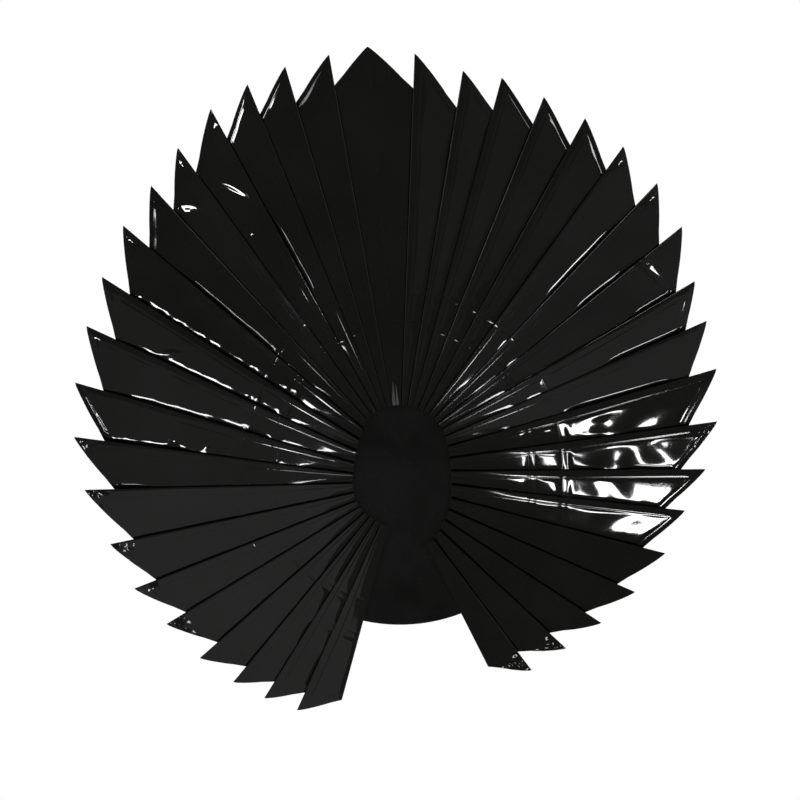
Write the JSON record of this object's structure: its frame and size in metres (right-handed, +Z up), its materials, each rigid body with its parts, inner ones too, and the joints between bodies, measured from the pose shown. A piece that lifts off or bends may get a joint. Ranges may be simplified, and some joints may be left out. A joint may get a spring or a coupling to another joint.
{
  "type": "halo backpiece",
  "caption": "Round fan of overlapping pointed black patent vinyl blades on a back plate, worn behind the shoulders and head as a costume halo.",
  "frame": {"origin": "hub of the fan, where the blades' leading edges meet, in the plane of those edges", "axes": "+Z up to the top blade, +Y away from the wearer's back, +X to the left hand of a wearer who faces -Y"},
  "size_m": [0.8052, 0.041, 0.8158],
  "materials": {
    "patent_vinyl": "high-gloss black patent vinyl, sewn",
    "plate_vinyl": "plain black vinyl, satin"
  },
  "bodies": {
    "root": {"blade_top": "patent_vinyl", "blade_left_01": "patent_vinyl", "blade_left_02": "patent_vinyl", "blade_left_03": "patent_vinyl", "blade_left_04": "patent_vinyl", "blade_left_05": "patent_vinyl", "blade_left_06": "patent_vinyl", "blade_left_07": "patent_vinyl", "blade_left_08": "patent_vinyl", "blade_left_09": "patent_vinyl", "blade_left_10": "patent_vinyl", "blade_left_11": "patent_vinyl", "blade_left_12": "patent_vinyl", "blade_left_13": "patent_vinyl", "blade_left_14": "patent_vinyl", "blade_left_15": "patent_vinyl", "blade_left_16": "patent_vinyl", "blade_left_17": "patent_vinyl", "blade_left_18": "patent_vinyl", "blade_left_19": "patent_vinyl", "blade_right_01": "patent_vinyl", "blade_right_02": "patent_vinyl", "blade_right_03": "patent_vinyl", "blade_right_04": "patent_vinyl", "blade_right_05": "patent_vinyl", "blade_right_06": "patent_vinyl", "blade_right_07": "patent_vinyl", "blade_right_08": "patent_vinyl", "blade_right_09": "patent_vinyl", "blade_right_10": "patent_vinyl", "blade_right_11": "patent_vinyl", "blade_right_12": "patent_vinyl", "blade_right_13": "patent_vinyl", "blade_right_14": "patent_vinyl", "blade_right_15": "patent_vinyl", "blade_right_16": "patent_vinyl", "blade_right_17": "patent_vinyl", "blade_right_18": "patent_vinyl", "blade_right_19": "patent_vinyl", "back_plate": "plate_vinyl"}
  },
  "joints": []
}
